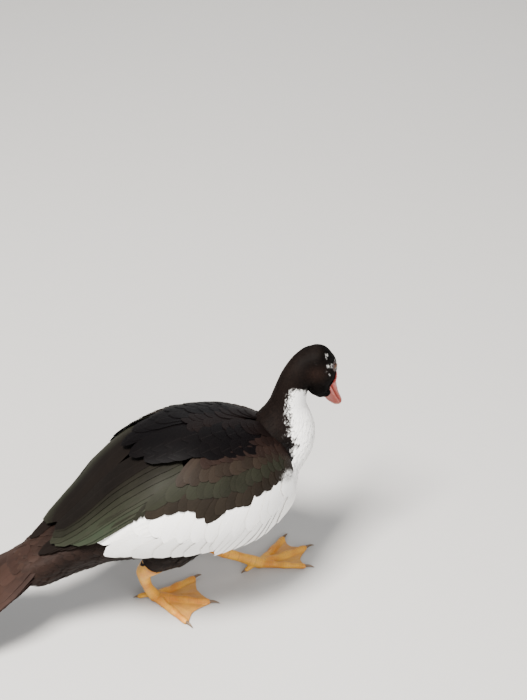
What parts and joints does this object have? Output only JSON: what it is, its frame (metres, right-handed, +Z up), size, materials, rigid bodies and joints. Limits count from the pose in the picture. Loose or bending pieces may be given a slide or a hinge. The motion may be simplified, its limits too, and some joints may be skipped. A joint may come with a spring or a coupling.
{
  "type": "muscovy duck model",
  "caption": "Life-size still model of a female muscovy duck standing in mid stride with folded wings and its head lowered.",
  "frame": {"origin": "on the floor, under the middle of the model's box", "axes": "+X the way the duck walks, +Y its left side, +Z up"},
  "size_m": [0.4556, 0.1768, 0.2935],
  "materials": {
    "body_feathers": "brown-black body feathers, white over the breast's sides, flanks and belly",
    "neck_feathers": "short soft feathers, black on the nape and white on the fore-neck",
    "head_feathers": "very short black feathers with white mottling on the forehead and around the eyes",
    "bill_horn": "smooth pink horn, redder at the base",
    "eye": "glossy, dark brown",
    "wing_feathers": "brown-black feathers with a green gloss above, white ones below",
    "tail_feathers": "brown-black feathers with a teal gloss towards their tips",
    "leg_skin": "scaly yellow-orange skin with greyer webs"
  },
  "bodies": {
    "root": {"torso": "body_feathers", "neck_lower": "neck_feathers", "neck_upper": "neck_feathers", "head": "head_feathers", "bill_upper": "bill_horn", "bill_lower": "bill_horn", "eye_left": "eye", "eye_right": "eye", "wing_left": "wing_feathers", "wing_right": "wing_feathers", "tail": "tail_feathers", "thigh_left": "body_feathers", "thigh_right": "body_feathers", "shank_left": "leg_skin", "shank_right": "leg_skin", "foot_left": "leg_skin", "foot_right": "leg_skin"}
  },
  "joints": []
}
